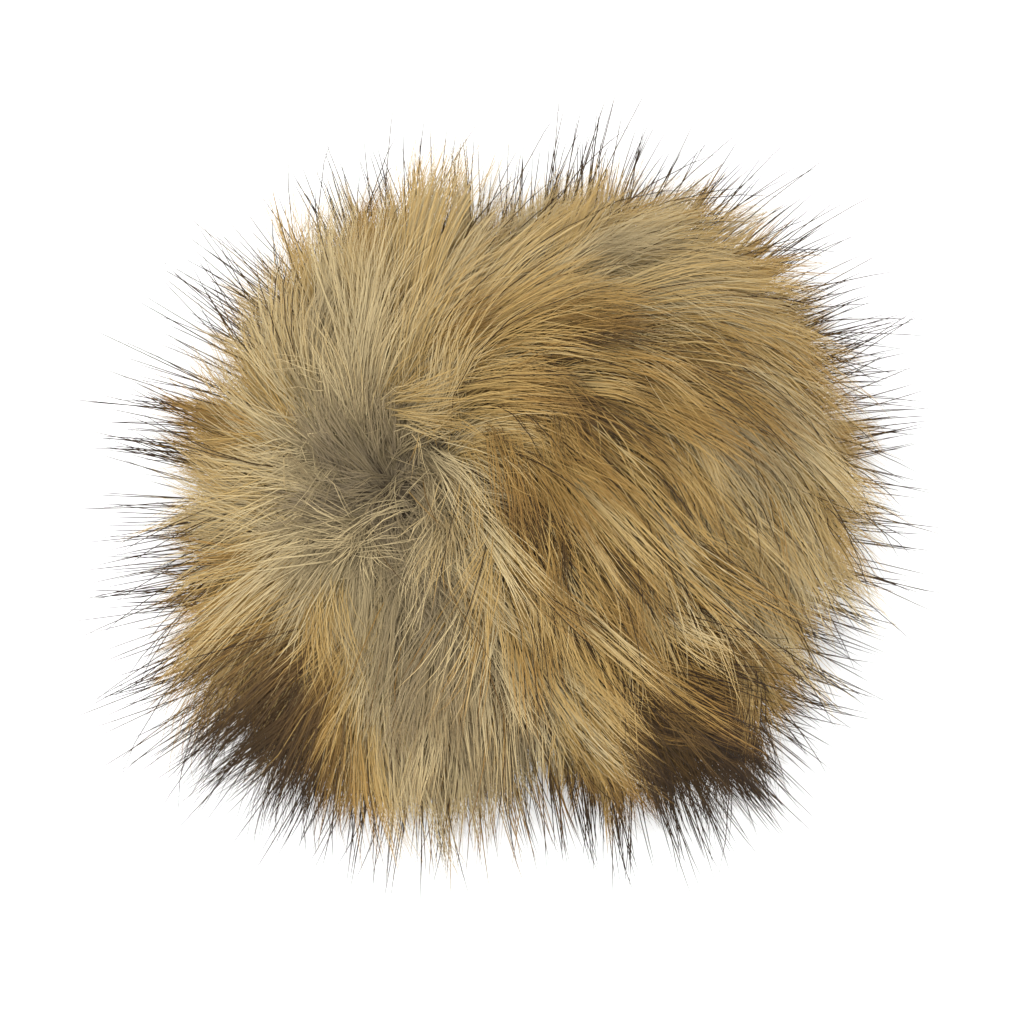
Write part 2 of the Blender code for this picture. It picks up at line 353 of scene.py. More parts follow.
def spotted(point, column, base):
    # the base value, drawn towards the values of the spots that are near
    total, weight = base * tones["baseWeight"], tones["baseWeight"]
    for row in toneAndShadeSpots:
        near = nearness(point, row)
        total += row[column] * near
        weight += near
    return total / weight


def levelAt(point, crown):
    return rimWay(point).lerp(combedWay(point), crown).normalized()


def laid(level, normal, rise):
    # the level direction, tipped up from the skin by the rise
    along = (level - normal * level.dot(normal)).normalized()
    return along * math.cos(math.radians(rise)) + normal * math.sin(math.radians(rise))


def placeAt(way):
    # where a hair is rooted, and how much it belongs to the crown, the low side, the whorl and a parting
    root = ballPoint(way, ball["scalpInset"])
    normal = skinNormal(way)
    crown = smoothStep(lie["crownSlope"], normal.z)
    return {
        "root": root,
        "normal": normal,
        "crown": crown,
        "low": smoothStep(lie["lowSlope"], normal.z),
        "core": bell((root.xy - ball["whorl"]).length, lie["whorlReach"]) * crown,
        "parted": partedAt(headingOf(root)) * (1 - crown),
        "bare": max(nearness(root, row) for row in bareSpots),
    }


def lengthsAt(here):
    # the lengths of the pile and of the guard hairs
    root, crown, low = here["root"], here["crown"], here["low"]
    length = lie["rimLength"] + (lie["crownLength"] - lie["rimLength"]) * crown ** lie["lengthFade"]
    length += (lie["lowLength"] - length) * low
    length *= 1 - lie["whorlShortening"] * here["core"]
    length *= 1 + lie["rippleLength"] * rippleAt(headingOf(root), root.z) * (1 - crown)
    length *= 1 - lie["partedShortening"] * here["parted"]
    guard = lie["rimGuard"] + (lie["crownGuard"] - lie["rimGuard"]) * crown
    for row in trims:
        share = row["share"] * bell(apart(headingOf(root), row["heading"]), row["spread"]) * (1 - here["core"])
        length *= 1 + share
        guard *= 1 + share
    return length, guard * (1 - lie["lowGuardShortening"] * low)


def strokeAt(here, length):
    # the pile's directions at its root and at its tip, and where the tip comes to lie
    root, normal, crown = here["root"], here["normal"], here["crown"]
    begin = levelAt(root, crown)
    middle = root + begin * length * lie["strokeShare"]
    tip = middle + levelAt(middle, crown) * length * lie["strokeShare"]
    laidStart = laid(begin, normal, lie["crownRise"] + lie["whorlRise"] * here["core"])
    laidEnd = laid(levelAt(tip, crown), normal, lie["crownSettle"])
    down = Vector((0, 0, -lie["rimDroop"]))
    standingStart = (normal + begin * lie["rimComb"]).normalized()
    standingEnd = (normal + begin * (1 - lie["rimComb"]) + down).normalized()
    start = standingStart.lerp(laidStart, crown).normalized()
    end = standingEnd.lerp(laidEnd, crown).normalized()
    return start, end, tip


def thicknessAt(here, length):
    crown = here["crown"]
    thick = 1 + (lie["whorlThickness"] - 1) * here["core"]
    thick *= 1 + (lie["lowThickness"] - 1) * here["low"]
    thick *= 1 + lie["fanThickness"] * crown * min(lie["fanLimit"], max(0.0, fanAt(here["root"]) * length))
    thick *= 1 - lie["partedThinning"] * here["parted"]
    thick *= 1 - lie["bareThinning"] * here["bare"] * crown
    return thick


def guardsAt(here, tip):
    guards = lie["crownGuards"]
    for row in guardSpots:
        guards += row["more"] * nearness(tip, row)
    guards = max(lie["fewestGuards"], guards + lie["rimGuards"] * (1 - here["crown"]))
    return guards * (1 - lie["lowGuards"] * here["low"])


def coloursAt(here, tip):
    # the pile's tone, and how much of the dark tip it keeps
    crown, low = here["crown"], here["low"]
    streak = crown * max(share * bell(math.hypot(tip.x - x * mm, tip.y - y * mm), lie["streakSpread"])
                         for x, y, share in streaks)
    base = tones["rim"] + (tones["crown"] - tones["rim"]) * crown
    tone = spotted(tip, "tone", base) * (1 - low) + tones["under"] * low
    tone += lie["streakTone"] * streak
    grey = bell((here["root"].xy - ball["whorl"]).length, lie["whorlGrey"]) * crown
    tone = tone * (1 - grey) + lie["whorlTone"] * grey
    dark = tones["rimDark"] + (spotted(tip, "dark", tones["crownDark"]) - tones["rimDark"]) * crown
    return tone, dark + lie["streakDark"] * streak


def pileAt(way):
    # what the hairs do that are rooted in the skin this way out of the middle
    here = placeAt(way)
    crown, core = here["crown"], here["core"]
    length, guardLength = lengthsAt(here)
    start, end, tip = strokeAt(here, length)
    tone, dark = coloursAt(here, tip)
    return {
        "pileStart": start,
        "pileEnd": end,
        "skin": here["normal"],
        "pileLength": length,
        "guardLength": guardLength,
        "pileTone": tone,
        "pileDark": dark,
        "wisps": core * (1 - lie["bareThinning"] * here["bare"]),
        "hold": 1 + lie["whorlHold"] * core + lie["rimHold"] * (1 - crown),
        "thick": thicknessAt(here, length),
        "guards": guardsAt(here, tip),
        "muss": (1 + (lie["whorlMuss"] - 1) * core) * (lie["rimMuss"] + (1 - lie["rimMuss"]) * crown),
    }


def scalpMesh():
    # the skin that the hairs grow from, with the lie of the pile stored at its points
    shape = bmesh.new()
    bmesh.ops.create_icosphere(shape, subdivisions=ball["subdivisions"], radius=1)
    rows = []
    for vert in shape.verts:
        way = vert.co.normalized()
        rows.append(pileAt(way))
        vert.co = ballPoint(way, ball["scalpInset"])
    mesh = bpy.data.meshes.new("scalp")
    shape.to_mesh(mesh)
    shape.free()
    for name, value in rows[0].items():
        isVector = isinstance(value, Vector)
        layer = mesh.attributes.new(name, "FLOAT_VECTOR" if isVector else "FLOAT", "POINT")
        flat = [part for row in rows for part in (row[name] if isVector else (row[name],))]
        layer.data.foreach_set("vector" if isVector else "value", flat)
    return mesh


def socketOf(sockets, key):
    if isinstance(key, int):
        return sockets[key]
    return next(socket for socket in sockets if socket.name == key and socket.enabled)


def put(tree, kind, inputs=None, **settings):
    # adds a node, with each input linked to a socket or set to a value, and gives its first live output
    made = tree.nodes.new(kind)
    for key, value in settings.items():
        setattr(made, key, value)
    for key, value in (inputs or {}).items():
        socket = socketOf(made.inputs, key)
        if isinstance(value, bpy.types.NodeSocket):
            tree.links.new(value, socket)
        else:
            socket.default_value = value
    return next(socket for socket in made.outputs if socket.enabled)


def newTree(name, inputs):
    tree = bpy.data.node_groups.new(name, "GeometryNodeTree")
    tree.interface.new_socket("Geometry", in_out="INPUT", socket_type="NodeSocketGeometry")
    tree.interface.new_socket("Geometry", in_out="OUTPUT", socket_type="NodeSocketGeometry")
    for label, kind in inputs:
        tree.interface.new_socket(label, in_out="INPUT", socket_type="NodeSocket" + kind)
    return tree


# what every layer of hair can set
hairInputs = (
    ("Hairs per Area", "Float"), ("Thickness Name", "String"), ("Length Name", "String"),
    ("Seed", "Int"), ("Segments", "Int"),
    ("Length", "Float"), ("Length Spread", "Float"), ("Lift", "Float"), ("Bend", "Float"),
    ("Root Width", "Float"), ("Tip Width", "Float"), ("Bluntness", "Float"),
    ("Flatness", "Float"), ("Roll", "Float"),
    ("Tuft Spacing", "Float"), ("Tuft Pull", "Float"), ("Tuft Turn", "Float"), ("Tuft Seed", "Int"),
    ("Lock Spacing", "Float"), ("Lock Pull", "Float"), ("Lock Turn", "Float"), ("Lock Length", "Float"),
    ("Lock Seed", "Int"),
    ("Hair Turn", "Float"), ("Frizz", "Float"), ("Frizz Pitch", "Float"),
    ("Tone", "Float"), ("Tuft Tone", "Float"), ("Lock Tone", "Float"), ("Hair Tone", "Float"),
    ("Dark", "Float"), ("Lock Dark", "Float"), ("Hair Dark", "Float"),
    ("Dark Locks", "Float"), ("Root Share", "Float"),
    ("Floor", "Float"), ("Material", "Material"),
)

# what holds for every hair
hairForm = {
    "mostClumps": 1e6,  # per square metre
    "tuftSizes": (0.86, 1.18),
    "startTurn": 0.5,  # of a hair's turn, what its root shows already
    "lockPower": 1.2,  # how late along its length a hair joins its lock and its tuft
    "tuftPower": 1.8,
    "waveShift": 2.0,
    "darkLockTone": 0.4,
    "tones": (0.01, 0.97),
    "paleTop": 0.78,  # how far up the map a hair without a dark tip gets
    "sideTone": 0.02,
    "tipShare": 0.99,
    "tipMerge": 1.1,
}


def hairTree():
    # hairs in fine locks, and the locks in tufts, grown along the lie that the skin's points hold
    tree = newTree("grow hairs", hairInputs)
    start = tree.nodes.new("NodeGroupInput")
    given = {socket.name: socket for socket in start.outputs}
    place = put(tree, "GeometryNodeInputPosition")

    def attribute(name, kind="FLOAT_VECTOR"):
        return put(tree, "GeometryNodeInputNamedAttribute", {"Name": name}, data_type=kind)

    def store(geometry, name, value, kind="FLOAT_VECTOR", domain="POINT"):
        inputs = {"Geometry": geometry, "Name": name, "Value": value}
        return put(tree, "GeometryNodeStoreNamedAttribute", inputs, data_type=kind, domain=domain)

    def number(operation, a, b=0.0):
        return put(tree, "ShaderNodeMath", {0: a, 1: b}, operation=operation)

    def vector(operation, a, b=(0.0, 0.0, 0.0)):
        return put(tree, "ShaderNodeVectorMath", {0: a, 1: b}, operation=operation)

    def scaled(a, factor):
        return put(tree, "ShaderNodeVectorMath", {0: a, "Scale": factor}, operation="SCALE")

    def summed(*parts):
        total = parts[0]
        for part in parts[1:]:
            total = vector("ADD", total, part)
        return total

    def within(value, least, most):
        return number("MINIMUM", number("MAXIMUM", value, least), most)

    def randomTurn(seed):
        inputs = {"Min": (-1, -1, -1), "Max": (1, 1, 1), "Seed": seed}
        return put(tree, "FunctionNodeRandomValue", inputs, data_type="FLOAT_VECTOR")

    def randomNumber(low, high, seed):
        inputs = {"Min": low, "Max": high, "Seed": seed}
        return put(tree, "FunctionNodeRandomValue", inputs, data_type="FLOAT")

    def aroundOne(spread, seed):
        low, high = number("SUBTRACT", 1.0, spread), number("ADD", 1.0, spread)
        return randomNumber(low, high, seed)

    def spaced(distance, seed):
        inputs = {
            "Mesh": given["Geometry"],
            "Distance Min": distance,
            "Density Max": hairForm["mostClumps"],
            "Seed": seed,
        }
        return put(tree, "GeometryNodeDistributePointsOnFaces", inputs, distribute_method="POISSON")

    def gather(points, centres, names):
        # gives the points what the nearest centre has
        inputs = {"Geometry": centres, "Sample Position": put(tree, "GeometryNodeInputPosition")}
        nearest = put(tree, "GeometryNodeSampleNearest", inputs, domain="POINT")
        for name, kind in names:
            inputs = {"Geometry": centres, "Value": attribute(name, kind), "Index": nearest}
            value = put(tree, "GeometryNodeSampleIndex", inputs, data_type=kind, domain="POINT")
            points = store(points, name, value, kind)
        return points

    def rooted():
        # a point for each hair's root, with what its lock and its tuft have in common
        tuftNames = (
            ("tuftRoot", "FLOAT_VECTOR"), ("tuftTurn", "FLOAT_VECTOR"), ("tuftSize", "FLOAT"),
            ("tuftTone", "FLOAT"),
        )
        lockNames = (
            ("lockRoot", "FLOAT_VECTOR"), ("lockTurn", "FLOAT_VECTOR"), ("lockTone", "FLOAT"),
            ("lockDark", "FLOAT"), ("lockSize", "FLOAT"),
        )
        tufts = store(spaced(given["Tuft Spacing"], given["Tuft Seed"]), "tuftRoot", place)
        tufts = store(tufts, "tuftTurn", randomTurn(21))
        tufts = store(tufts, "tuftSize", randomNumber(*hairForm["tuftSizes"], 22), "FLOAT")
        tufts = store(tufts, "tuftTone", randomNumber(-1.0, 1.0, 23), "FLOAT")
        locks = store(spaced(given["Lock Spacing"], given["Lock Seed"]), "lockRoot", place)
        locks = store(locks, "lockTurn", randomTurn(31))
        locks = store(locks, "lockTone", randomNumber(-1.0, 1.0, 32), "FLOAT")
        locks = store(locks, "lockDark", randomNumber(-1.0, 1.0, 33), "FLOAT")
        locks = store(locks, "lockSize", aroundOne(given["Lock Length"], 34), "FLOAT")
        locks = gather(locks, tufts, tuftNames)
        density = number("MULTIPLY", attribute(given["Thickness Name"], "FLOAT"), given["Hairs per Area"])
        inputs = {"Mesh": given["Geometry"], "Density": density, "Seed": given["Seed"]}
        hairs = put(tree, "GeometryNodeDistributePointsOnFaces", inputs, distribute_method="RANDOM")
        hairs = gather(store(hairs, "root", place), locks, tuftNames + lockNames)
        hairs = store(hairs, "hairTurn", randomTurn(41))
        hairs = store(hairs, "hairSize", aroundOne(given["Length Spread"], 42), "FLOAT")
        hairs = store(hairs, "hairTone", randomNumber(-1.0, 1.0, 43), "FLOAT")
        return store(hairs, "hairDark", randomNumber(-1.0, 1.0, 44), "FLOAT")

    def straight(hairs):
        # one straight line for each hair, whose points are then set along its curve
        line = put(tree, "GeometryNodeCurvePrimitiveLine", {"End": (0, 0, 1)})
        steps = number("ADD", given["Segments"], 1.0)
        line = put(tree, "GeometryNodeResampleCurve", {"Curve": line, "Count": steps})
        lines = put(tree, "GeometryNodeInstanceOnPoints", {"Points": hairs, "Instance": line})
        lines = put(tree, "GeometryNodeRealizeInstances", {"Geometry": lines})
        return store(lines, "share", put(tree, "GeometryNodeSplineParameter"), "FLOAT")

    def swept(along):
        # a hair's own way from its root, bent from the start's direction to the end's
        turn = summed(
            scaled(attribute("tuftTurn"), given["Tuft Turn"]),
            scaled(attribute("lockTurn"), given["Lock Turn"]),
            scaled(attribute("hairTurn"), given["Hair Turn"]),
        )
        turn = scaled(turn, attribute("muss", "FLOAT"))
        lift = put(tree, "ShaderNodeCombineXYZ", {"Z": given["Lift"]})
        startTurn = scaled(turn, hairForm["startTurn"])
        begin = vector("NORMALIZE", summed(attribute("pileStart"), startTurn))
        finish = vector("NORMALIZE", summed(attribute("pileEnd"), turn, lift))
        length = number("MULTIPLY", attribute(given["Length Name"], "FLOAT"), given["Length"])
        for name in ("tuftSize", "lockSize", "hairSize"):
            length = number("MULTIPLY", length, attribute(name, "FLOAT"))
        power = number("ADD", given["Bend"], 1.0)
        late = number("DIVIDE", number("POWER", along, power), power)
        early = number("SUBTRACT", along, late)
        return scaled(summed(scaled(begin, early), scaled(finish, late)), length)

    def frizzed(point, root, along):
        wave = tree.nodes.new("ShaderNodeTexNoise")
        tree.links.new(summed(point, scaled(root, hairForm["waveShift"])), wave.inputs["Vector"])
        tree.links.new(number("DIVIDE", 1.0, given["Frizz Pitch"]), wave.inputs["Scale"])
        wave.inputs["Detail"].default_value = 1.0
        shake = vector("SUBTRACT", wave.outputs["Color"], (0.5, 0.5, 0.5))
        frizz = number("MULTIPLY", attribute("muss", "FLOAT"), given["Frizz"])
        return vector("ADD", point, scaled(shake, number("MULTIPLY", along, frizz)))

    def bent(lines, along):
        # the lines' points, drawn into their lock and tuft, frizzed and kept above the floor
        root, lockRoot, tuftRoot = attribute("root"), attribute("lockRoot"), attribute("tuftRoot")
        hold = attribute("hold", "FLOAT")
        lockPull = number("MULTIPLY", hold, given["Lock Pull"])
        tuftPull = number("MULTIPLY", hold, given["Tuft Pull"])
        toLock = number("MULTIPLY", number("POWER", along, hairForm["lockPower"]), lockPull)
        toTuft = number("MULTIPLY", number("POWER", along, hairForm["tuftPower"]), tuftPull)
        point = summed(
            root,
            swept(along),
            scaled(vector("SUBTRACT", lockRoot, root), toLock),
            scaled(vector("SUBTRACT", tuftRoot, lockRoot), toTuft),
        )
        parts = tree.nodes.new("ShaderNodeSeparateXYZ")
        tree.links.new(frizzed(point, root, along), parts.inputs[0])
        height = number("MAXIMUM", parts.outputs["Z"], given["Floor"])
        inputs = {"X": parts.outputs["X"], "Y": parts.outputs["Y"], "Z": height}
        point = put(tree, "ShaderNodeCombineXYZ", inputs)
        return put(tree, "GeometryNodeSetPosition", {"Geometry": lines, "Position": point})

    def coloured(lines):
        tone = number("ADD", attribute("pileTone", "FLOAT"), given["Tone"])
        for name, label in (("tuftTone", "Tuft Tone"), ("lockTone", "Lock Tone"), ("hairTone", "Hair Tone")):
            tone = number("ADD", tone, number("MULTIPLY", attribute(name, "FLOAT"), given[label]))
        # some locks are dark from half their length on, more of them where the guard hairs are thick
        few = number("MULTIPLY", attribute("guards", "FLOAT"), given["Dark Locks"])
        isDark = number("GREATER_THAN", attribute("lockDark", "FLOAT"), number("SUBTRACT", 1.0, few))
        tone = number("ADD", tone, number("MULTIPLY", isDark, hairForm["darkLockTone"]))
        lines = store(lines, "tone", within(tone, *hairForm["tones"]), "FLOAT")
        dark = number("ADD", attribute("pileDark", "FLOAT"), given["Dark"])
        for name, label in (("lockDark", "Lock Dark"), ("hairDark", "Hair Dark")):
            dark = number("ADD", dark, number("MULTIPLY", attribute(name, "FLOAT"), given[label]))
        return store(lines, "dark", within(dark, 0.0, 1.0), "FLOAT")

    def tubes(lines, along):
        # each hair as a flat three-sided tube, its broad side turned outwards from the skin
        skin = vector("ADD", attribute("skin"), scaled(attribute("hairTurn"), given["Roll"]))
        tangent = put(tree, "GeometryNodeInputTangent")
        lean = put(tree, "ShaderNodeVectorMath", {0: skin, 1: tangent}, operation="DOT_PRODUCT")
        broad = vector("NORMALIZE", vector("SUBTRACT", skin, scaled(tangent, lean)))
        lines = put(tree, "GeometryNodeSetCurveNormal", {"Curve": lines, "Normal": broad}, mode="FREE")
        profile = put(tree, "GeometryNodeCurvePrimitiveCircle", {"Resolution": 3, "Radius": 1 / math.sqrt(3)})
        side = number("DIVIDE", put(tree, "GeometryNodeInputIndex"), 3.0)
        profile = store(profile, "side", side, "FLOAT")
        flat = put(tree, "ShaderNodeCombineXYZ", {"X": given["Flatness"], "Y": 1.0, "Z": 1.0})
        flat = vector("MULTIPLY", put(tree, "GeometryNodeInputPosition"), flat)
        profile = put(tree, "GeometryNodeSetPosition", {"Geometry": profile, "Position": flat})
        taper = number("POWER", number("SUBTRACT", 1.0, along), given["Bluntness"])
        wide = number("MULTIPLY", number("SUBTRACT", given["Root Width"], given["Tip Width"]), taper)
        wide = number("ADD", wide, given["Tip Width"])
        inputs = {"Curve": lines, "Profile Curve": profile, "Scale": wide, "Fill Caps": True}
        mesh = put(tree, "GeometryNodeCurveToMesh", inputs)
        inputs = {0: along, 1: hairForm["tipShare"]}
        isTip = put(tree, "FunctionNodeCompare", inputs, data_type="FLOAT", operation="GREATER_THAN")
        distance = number("MULTIPLY", given["Tip Width"], hairForm["tipMerge"])
        inputs = {"Geometry": mesh, "Selection": isTip, "Distance": distance}
        return put(tree, "GeometryNodeMergeByDistance", inputs)

    def mapped(mesh, along):
        # tone across the map and root to tip up it, where a hair without its dark tip stops short
        sideTone = number("MULTIPLY", attribute("side", "FLOAT"), hairForm["sideTone"])
        across = number("ADD", attribute("tone", "FLOAT"), sideTone)
        inputs = {"Value": attribute("dark", "FLOAT"), "To Min": hairForm["paleTop"], "To Max": 1.0}
        top = put(tree, "ShaderNodeMapRange", inputs)
        rise = put(tree, "ShaderNodeMapRange", {"Value": along, "To Min": given["Root Share"], "To Max": top})
        spot = put(tree, "ShaderNodeCombineXYZ", {"X": across, "Y": rise})
        return store(mesh, "OFBake", spot, "FLOAT2", "CORNER")

    along = attribute("share", "FLOAT")
    lines = coloured(bent(straight(rooted()), along))
    mesh = mapped(tubes(lines, along), along)
    mesh = put(tree, "GeometryNodeSetShadeSmooth", {"Geometry": mesh, "Shade Smooth": False})
    mesh = put(tree, "GeometryNodeRealizeInstances", {"Geometry": mesh})
    mesh = put(tree, "GeometryNodeSetMaterial", {"Geometry": mesh, "Material": given["Material"]})
    end = tree.nodes.new("NodeGroupOutput")
    tree.links.new(mesh, end.inputs["Geometry"])
    return tree


def grow(name, skin, tree, settings):
    # runs the tree on the skin and keeps the result as a plain mesh
    seedling = bpy.data.objects.new(name + "_skin", skin)
    bpy.context.scene.collection.objects.link(seedling)
    modifier = seedling.modifiers.new("hairs", "NODES")
    modifier.node_group = tree
    identifiers = {item.name: item.identifier for item in tree.interface.items_tree if item.in_out == "INPUT"}
    for label, value in settings.items():
        modifier[identifiers[label]] = value
    graph = bpy.context.evaluated_depsgraph_get()
    mesh = bpy.data.meshes.new_from_object(seedling.evaluated_get(graph))
    bpy.data.objects.remove(seedling)
    for layer in [layer.name for layer in mesh.attributes]:
        if layer not in ("position", "OFBake", "sharp_face", "material_index") and not layer.startswith("."):
            mesh.attributes.remove(mesh.attributes[layer])
    mesh.name = name
    hairs = bpy.data.objects.new(name, mesh)
    bpy.context.scene.collection.objects.link(hairs)
    triangles = sum(len(face.vertices) - 2 for face in mesh.polygons)
    count = round(triangles / (6 * settings["Segments"] - 2))
    print(name, "has", count, "hairs and", triangles, "triangles")
    return hairs


# how a hair's colour runs from its root (0) to its tip (1), for each tone; plain 0 to 255 screen colours
hairColours = (
    (0.00, ((0.0, (74, 65, 51)), (0.2, (98, 87, 69)), (0.7, (132, 117, 91)),
            (0.82, (146, 131, 102)), (1.0, (94, 82, 68)))),
    (0.20, ((0.0, (104, 93, 72)), (0.2, (114, 101, 74)), (0.7, (124, 108, 78)),
            (0.82, (118, 99, 67)), (1.0, (62, 51, 40)))),
    (0.40, ((0.0, (136, 122, 93)), (0.2, (168, 152, 115)), (0.7, (184, 166, 126)),
            (0.82, (172, 146, 99)), (1.0, (57, 45, 38)))),
    (0.60, ((0.0, (126, 108, 71)), (0.2, (154, 130, 81)), (0.7, (164, 136, 83)),
            (0.82, (148, 112, 57)), (1.0, (44, 35, 31)))),
    (0.80, ((0.0, (112, 92, 60)), (0.2, (136, 109, 61)), (0.6, (142, 109, 56)),
            (0.78, (98, 69, 38)), (1.0, (35, 28, 27)))),
    (1.00, ((0.0, (74, 62, 45)), (0.2, (92, 70, 43)), (0.38, (52, 38, 27)),
            (0.55, (31, 24, 20)), (1.0, (19, 16, 16)))),
)
hairFinish = {"roughness": 0.7, "specular": 0.12}


def linear(colour):
    # a screen colour as Blender's linear one
    return tuple(((c / 255 + 0.055) / 1.055) ** 2.4 if c > 10 else c / 255 / 12.92 for c in colour) + (1.0,)


def newMaterial(name, roughness, specular):
    material = bpy.data.materials.new(name)
    material.use_nodes = True
    shader = material.node_tree.nodes["Principled BSDF"]
    shader.inputs["Roughness"].default_value = roughness
    shader.inputs["Specular IOR Level"].default_value = specular
    return material, material.node_tree, shader


def rampOf(tree, share, stops):
    ramp = tree.nodes.new("ShaderNodeValToRGB")
    ramp.color_ramp.interpolation = "B_SPLINE"
    elements = ramp.color_ramp.elements
    while len(elements) < len(stops):
        elements.new(0.5)
    for element, (position, colour) in zip(elements, stops):
        element.position = position
        element.color = linear(colour)
    tree.links.new(share, ramp.inputs[0])
    return ramp.outputs["Color"]


def hairMaterial():
    # tone across the map, root to tip up the map
    material, tree, shader = newMaterial("fur hair", hairFinish["roughness"], hairFinish["specular"])
    mapNode = tree.nodes.new("ShaderNodeUVMap")
    mapNode.uv_map = "OFBake"
    parts = tree.nodes.new("ShaderNodeSeparateXYZ")
    tree.links.new(mapNode.outputs[0], parts.inputs[0])
    tone, share = parts.outputs["X"], parts.outputs["Y"]
    colour, lastTone = None, 0.0
    for at, stops in hairColours:
        own = rampOf(tree, share, stops)
        if colour is None:
            colour = own
        else:
            span = {"Value": tone, "From Min": lastTone, "From Max": at}
            blend = put(tree, "ShaderNodeMapRange", span)
            inputs = {"Factor": blend, "A": colour, "B": own}
            colour = put(tree, "ShaderNodeMix", inputs, data_type="RGBA")
        lastTone = at
    tree.links.new(colour, shader.inputs["Base Color"])
    return material


# the dense wool that closes the view between the hairs
underfur = {
    "inset": 6.5 * mm,
    "streakDepth": 1.6 * mm,
    "streakPitch": 3.5 * mm,
    "floor": 0.4 * mm,
    "fill": 0.6,
    "roughness": 0.9,
    "specular": 0.1,
    "grainScale": 900.0,
    "grainDetail": 6.0,
    "grainDepth": 1 * mm,
    "colours": ((0.35, (54, 46, 37)), (0.5, (76, 66, 51)), (0.65, (100, 87, 66))),
}


def underfurMaterial():
    material, tree, shader = newMaterial("underfur", underfur["roughness"], underfur["specular"])
    spot = tree.nodes.new("ShaderNodeTexCoord").outputs["Object"]
    inputs = {"Vector": spot, "Scale": underfur["grainScale"], "Detail": underfur["grainDetail"]}
    grain = put(tree, "ShaderNodeTexNoise", inputs)
    tree.links.new(rampOf(tree, grain, underfur["colours"]), shader.inputs["Base Color"])
    bump = tree.nodes.new("ShaderNodeBump")
    bump.inputs["Distance"].default_value = underfur["grainDepth"]
    tree.links.new(grain, bump.inputs["Height"])
    tree.links.new(bump.outputs[0], shader.inputs["Normal"])
    return material


def dress(piece, material=None):
    if material:
        piece.data.materials.clear()
        piece.data.materials.append(material)
    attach(piece, body)
    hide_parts(node)


def makeUnderfur():
    shape = bmesh.new()
    bmesh.ops.create_icosphere(shape, subdivisions=ball["subdivisions"], radius=1)
    for vert in shape.verts:
        way = vert.co.normalized()
        point = ballPoint(way, underfur["inset"])
        ridge = noise.noise(point / underfur["streakPitch"]) * underfur["streakDepth"]
        point += way * ridge
        point.z = max(point.z, underfur["floor"])
        vert.co = point
    mesh = bpy.data.meshes.new("underfur")
    shape.to_mesh(mesh)
    shape.free()
    mesh.shade_smooth()
    piece = bpy.data.objects.new("underfur", mesh)
    bpy.context.scene.collection.objects.link(piece)
    dress(piece, underfurMaterial())
    print("underfur made")


# what all the layers of pile share
pile = {
    "Thickness Name": "thick", "Length Name": "pileLength", "Segments": 4,
    "Length": 1.0, "Length Spread": 0.22, "Lift": 0.0, "Bend": 0.7,
    "Root Width": 0.16 * mm, "Tip Width": 0.03 * mm, "Bluntness": 0.5, "Flatness": 0.2, "Roll": 0.15,
    "Tuft Spacing": 11 * mm, "Tuft Pull": 0.45, "Tuft Turn": 0.26, "Tuft Seed": 5,
    "Lock Spacing": 4.2 * mm, "Lock Pull": 0.7, "Lock Turn": 0.46, "Lock Length": 0.32,
    "Lock Seed": 7,
    "Hair Turn": 0.14, "Frizz": 4 * mm, "Frizz Pitch": 14 * mm,
    "Tone": 0.0, "Tuft Tone": 0.1, "Lock Tone": 0.16, "Hair Tone": 0.05,
    "Dark": 0.0, "Lock Dark": 0.45, "Hair Dark": 0.15, "Dark Locks": 0.0, "Root Share": 0.0,
    "Floor": 0.3 * mm,
}

# each layer's own values; the dark guard hairs are few, long and thin
layers = (
    {"name": "underwool", "perArea": 4.4e5, "Seed": 101, "Segments": 3,
     "Length": 0.75, "Lock Spacing": 3 * mm, "Lock Pull": 0.4, "Lock Seed": 8, "Tuft Pull": 0.2,
     "Hair Turn": 0.2, "Tone": -0.08, "Dark": -0.3},
    {"name": "whorl_wisps", "perArea": 2.8e6, "Thickness Name": "wisps", "Seed": 106,
     "Length": 0.7, "Root Width": 0.14 * mm, "Lock Spacing": 2.2 * mm, "Lock Pull": 0.9,
     "Lock Turn": 0.7, "Lock Seed": 9, "Tuft Pull": 0.0, "Frizz": 5 * mm, "Frizz Pitch": 8 * mm,
     "Tone": -0.05, "Dark": -0.5},
    {"name": "pile_cream", "perArea": 4.4e5, "Seed": 102, "Segments": 3, "Length": 0.9, "Tone": -0.05},
    {"name": "pile_fawn", "perArea": 4.4e5, "Seed": 103, "Segments": 3},
    {"name": "pile_ochre", "perArea": 3.2e5, "Seed": 104, "Length": 1.05, "Dark Locks": 0.3},
    {"name": "guard_hairs", "perArea": 1.6e5, "Thickness Name": "guards", "Length Name": "guardLength",
     "Seed": 105, "Length Spread": 0.35, "Lift": 0.15, "Root Width": 0.2 * mm, "Tip Width": 0.05 * mm,
     "Bluntness": 0.35, "Flatness": 0.9, "Lock Pull": 0.4, "Lock Length": 0.1, "Tuft Pull": 0.1,
     "Hair Turn": 0.2, "Frizz": 2 * mm, "Frizz Pitch": 30 * mm, "Tone": 0.6, "Dark": 1.0,
     "Root Share": 0.3},
)


def makeFur():
    skin = scalpMesh()
    print("skin made, with", len(skin.vertices), "points")
    tree = hairTree()
    material = hairMaterial()
    for layer in layers:
        settings = dict(pile, Material=material)
        settings.update({key: value for key, value in layer.items() if key not in ("name", "perArea")})
        settings["Hairs per Area"] = layer["perArea"]
        dress(grow(layer["name"], skin, tree, settings))


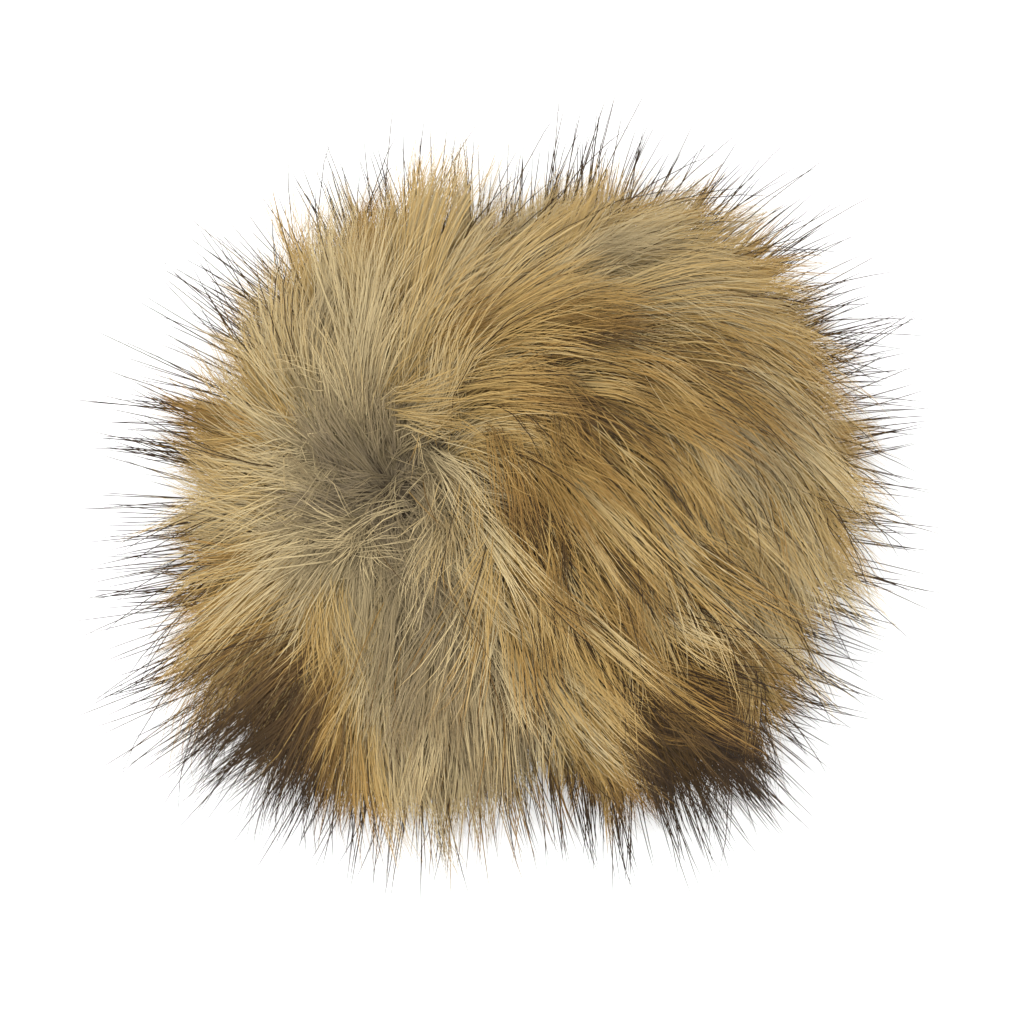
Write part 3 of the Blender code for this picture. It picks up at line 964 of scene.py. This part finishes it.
# the setting: a plain white floor, soft light, and a camera straight above
studio = {
    "floorSize": 4.0,
    "floorColour": (0.93, 0.93, 0.93, 1.0),
    "pixel": 0.17 * mm,  # what a pixel covers at the widest level
    "middlePixel": (520, 490),  # where the middle of the flat spot lies in the picture
    "pictureSide": 1024,
    "cameraHeight": 0.9,
    "sensor": 36.0,
    "worldStrength": 0.65,
}

lamps = (
    {"name": "top softbox", "at": (-0.06, 0.12, 1.1), "size": 0.6, "watts": 17},
    {"name": "right fill", "at": (0.9, -0.3, 0.6), "size": 0.9, "watts": 3.5},
    {"name": "left fill", "at": (-0.9, -0.3, 0.6), "size": 0.9, "watts": 3.5},
)


def makeFloor():
    bpy.ops.mesh.primitive_plane_add(size=studio["floorSize"])
    floor = bpy.context.object
    floor.name = "floor"
    material, tree, shader = newMaterial("floor", 0.9, 0.1)
    shader.inputs["Base Color"].default_value = studio["floorColour"]
    floor.data.materials.append(material)


def makeLamps():
    for row in lamps:
        light = bpy.data.lights.new(row["name"], "AREA")
        light.energy = row["watts"]
        light.size = row["size"]
        lamp = bpy.data.objects.new(row["name"], light)
        lamp.location = row["at"]
        aim = Vector((0, 0, ball["widest"])) - lamp.location
        lamp.rotation_euler = aim.to_track_quat("-Z", "Y").to_euler()
        bpy.context.scene.collection.objects.link(lamp)
    world = bpy.data.worlds.new("studio")
    world.use_nodes = True
    background = world.node_tree.nodes["Background"]
    background.inputs["Color"].default_value = (1, 1, 1, 1)
    background.inputs["Strength"].default_value = studio["worldStrength"]
    bpy.context.scene.world = world
    bpy.context.scene.view_settings.view_transform = "Standard"


def makeCamera():
    side = studio["pictureSide"]
    middle = side / 2
    across, down = studio["middlePixel"]
    camera = bpy.data.objects.new("camera", bpy.data.cameras.new("camera"))
    camera.location = (
        (middle - across) * studio["pixel"],
        (down - middle) * studio["pixel"],
        ball["widest"] + studio["cameraHeight"],
    )
    camera.data.sensor_width = studio["sensor"]
    camera.data.lens = studio["sensor"] * studio["cameraHeight"] / (side * studio["pixel"])
    bpy.context.scene.collection.objects.link(camera)
    bpy.context.scene.camera = camera


makeUnderfur()
makeFur()
makeFloor()
makeLamps()
makeCamera()
print("studio made")
